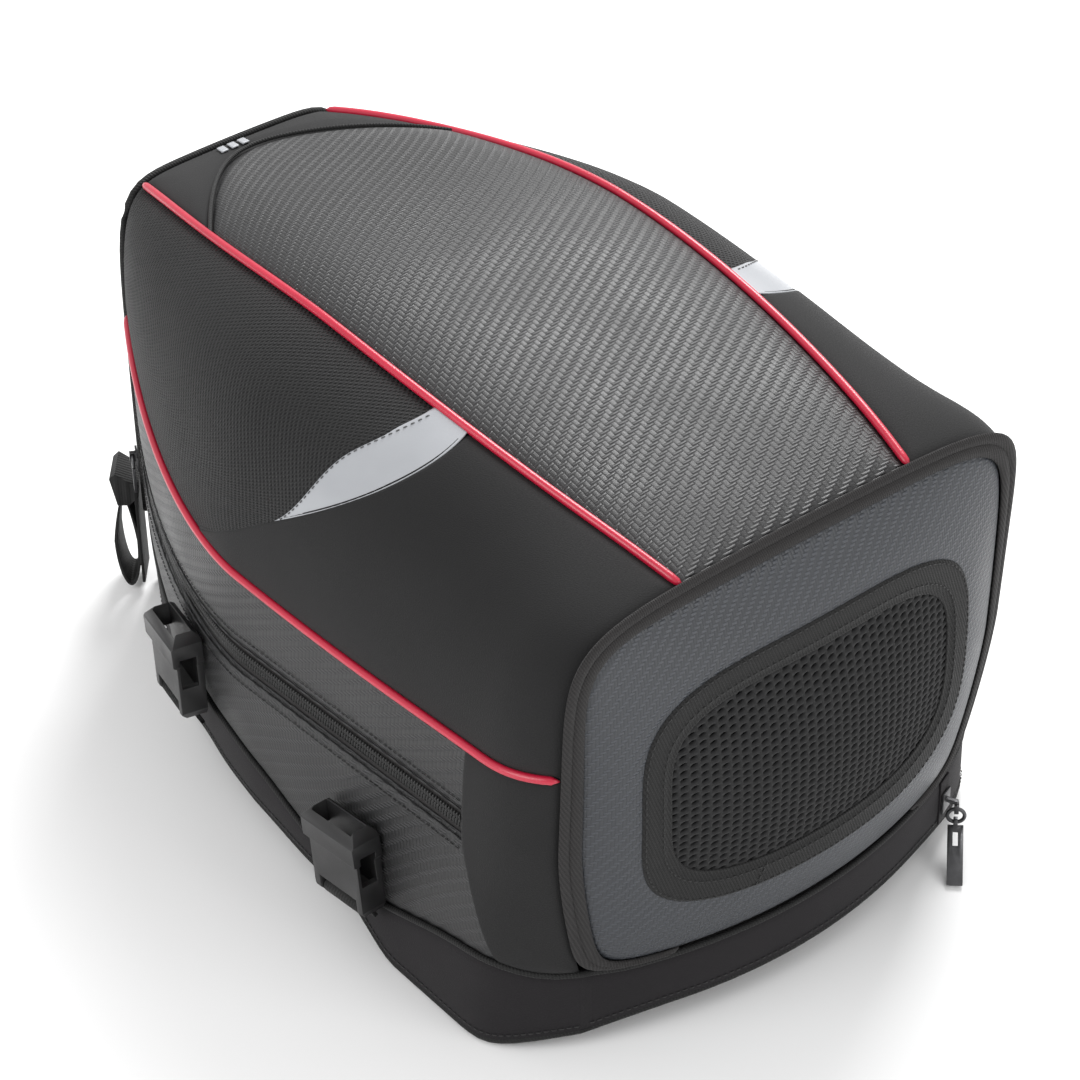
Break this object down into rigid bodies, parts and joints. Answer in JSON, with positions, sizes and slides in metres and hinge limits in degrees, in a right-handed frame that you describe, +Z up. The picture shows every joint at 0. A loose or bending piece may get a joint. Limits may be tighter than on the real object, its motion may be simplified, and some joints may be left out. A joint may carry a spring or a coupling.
{
  "type": "tank bag",
  "caption": "Domed soft tank bag with a zipped mesh-window door, side pockets and strap buckles, for carrying a small pet or luggage.",
  "frame": {"origin": "bottom centre of the bag's box, on the surface it stands on", "axes": "+Z up, the door faces -Y and the narrow rear end faces +Y"},
  "size_m": [0.3134, 0.4422, 0.2618],
  "materials": {
    "carbon_vinyl": "satin vinyl with an embossed twill",
    "slate_vinyl": "satin vinyl with a small embossed weave",
    "side_fabric": "matte fabric with a fine honeycomb",
    "softshell": "matte softshell",
    "rear_fabric": "matte coated fabric",
    "silver_reflective": "satin reflective tape",
    "red_piping": "satin vinyl piping",
    "grosgrain": "matte ribbed tape",
    "zip_tape": "matte tape with a nylon coil",
    "spacer_mesh": "matte spacer mesh with oval holes",
    "lining": "matte lining",
    "foam": "matte closed-cell foam",
    "board": "matte board",
    "webbing": "matte woven webbing",
    "moulded_plastic": "matte moulded",
    "gunmetal": "satin gunmetal"
  },
  "bodies": {
    "bag": {"base_panel": "rear_fabric", "base_board": "board", "base_band": "softshell", "base_piping": "grosgrain", "base_binding": "grosgrain", "floor_pad": "lining", "top_panel": "carbon_vinyl", "top_foam": "foam", "rear_yoke": "softshell", "yoke_cord": "grosgrain", "yoke_patch": "silver_reflective", "rear_panel": "rear_fabric", "rear_binding": "grosgrain", "door_zip_frame": "zip_tape", "door_zip_tail": "zip_tape", "side_mesh_left": "side_fabric", "side_mesh_right": "side_fabric", "reflective_left": "silver_reflective", "reflective_right": "silver_reflective", "side_softshell_left": "softshell", "side_softshell_right": "softshell", "pocket_strip_left": "carbon_vinyl", "pocket_strip_right": "carbon_vinyl", "pocket_panel_left": "carbon_vinyl", "pocket_panel_right": "carbon_vinyl", "corner_gusset_left": "softshell", "corner_gusset_right": "softshell", "pocket_zip_left": "zip_tape", "pocket_zip_right": "zip_tape", "pocket_bag_left": "lining", "pocket_bag_right": "lining", "side_foam_left": "foam", "side_foam_right": "foam", "piping_top_left": "red_piping", "piping_top_right": "red_piping", "piping_lower_left": "red_piping", "piping_lower_right": "red_piping", "strap_tab_left_front": "webbing", "strap_tab_left_rear": "webbing", "strap_tab_right_front": "webbing", "strap_tab_right_rear": "webbing"},
    "door": {"door_panel": "slate_vinyl", "door_zip_tape": "zip_tape", "window_binding": "grosgrain", "window_mesh": "spacer_mesh"},
    "door_slider": {"door_slider": "gunmetal"},
    "door_pull": {"door_pull": "gunmetal"},
    "door_pull_tab": {"door_pull_tab": "gunmetal"},
    "pocket_slider_left": {"pocket_slider_left": "gunmetal"},
    "pocket_slider_right": {"pocket_slider_right": "gunmetal"},
    "pocket_pull_left": {"pocket_pull_left": "gunmetal"},
    "pocket_pull_right": {"pocket_pull_right": "gunmetal"},
    "buckle_left_front": {"buckle_left_front": "moulded_plastic"},
    "buckle_left_rear": {"buckle_left_rear": "moulded_plastic"},
    "buckle_right_front": {"buckle_right_front": "moulded_plastic"},
    "buckle_right_rear": {"buckle_right_rear": "moulded_plastic"},
    "rear_strap_left": {"rear_strap_left": "webbing"},
    "rear_strap_right": {"rear_strap_right": "webbing"}
  },
  "joints": [
    {"name": "door_hinge", "type": "hinge", "parent": "bag", "child": "door", "pos_m": [0, -0.2115, 0.041], "axis": [1, 0, 0], "range_deg": [0, 95]},
    {"name": "door_slider_travel", "type": "slide", "parent": "bag", "child": "door_slider", "axis": [0.2835, 0.0158, 0.9588], "range_m": [0, 0.056]},
    {"name": "door_pull_swing", "type": "hinge", "parent": "door_slider", "child": "door_pull", "pos_m": [0.10196, -0.19858, 0.022], "axis": [-0.7193, 0.6947, 0], "range_deg": [0, 60]},
    {"name": "door_pull_tab_swing", "type": "hinge", "parent": "door_pull", "child": "door_pull_tab", "pos_m": [0.10196, -0.19858, 0.0142], "axis": [-0.7193, 0.6947, 0], "range_deg": [0, 50]},
    {"name": "pocket_slider_left_travel", "type": "slide", "parent": "bag", "child": "pocket_slider_left", "axis": [-0.4534, -0.8912, 0.0108], "range_m": [0, 0.05]},
    {"name": "pocket_pull_left_swing", "type": "hinge", "parent": "pocket_slider_left", "child": "pocket_pull_left", "pos_m": [-0.08484, 0.17832, 0.09828], "axis": [0.4695, 0.8829, 0], "range_deg": [0, 100]},
    {"name": "pocket_slider_right_travel", "type": "slide", "parent": "bag", "child": "pocket_slider_right", "axis": [0.4534, -0.8912, 0.0108], "range_m": [0, 0.05]},
    {"name": "pocket_pull_right_swing", "type": "hinge", "parent": "pocket_slider_right", "child": "pocket_pull_right", "pos_m": [0.08484, 0.17832, 0.09828], "axis": [0.4695, -0.8829, 0], "range_deg": [0, 100]},
    {"name": "buckle_left_front_swing", "type": "hinge", "parent": "bag", "child": "buckle_left_front", "pos_m": [-0.15069, -0.07728, 0.03397], "axis": [0, -0.9903, 0.1392], "range_deg": [0, 100]},
    {"name": "buckle_left_rear_swing", "type": "hinge", "parent": "bag", "child": "buckle_left_rear", "pos_m": [-0.13962, 0.06588, 0.04897], "axis": [-0.2396, -0.9608, 0.1392], "range_deg": [0, 100]},
    {"name": "rear_strap_left_swing", "type": "hinge", "parent": "bag", "child": "rear_strap_left", "pos_m": [-0.06681, 0.20396, 0.063], "axis": [0.6428, 0.766, 0], "range_deg": [0, 35]},
    {"name": "buckle_right_front_swing", "type": "hinge", "parent": "bag", "child": "buckle_right_front", "pos_m": [0.15069, -0.07728, 0.03397], "axis": [0, 0.9903, -0.1392], "range_deg": [0, 100]},
    {"name": "buckle_right_rear_swing", "type": "hinge", "parent": "bag", "child": "buckle_right_rear", "pos_m": [0.13962, 0.06588, 0.04897], "axis": [-0.2396, 0.9608, -0.1392], "range_deg": [0, 100]},
    {"name": "rear_strap_right_swing", "type": "hinge", "parent": "bag", "child": "rear_strap_right", "pos_m": [0.06681, 0.20396, 0.063], "axis": [0.6428, -0.766, 0], "range_deg": [0, 35]}
  ]
}
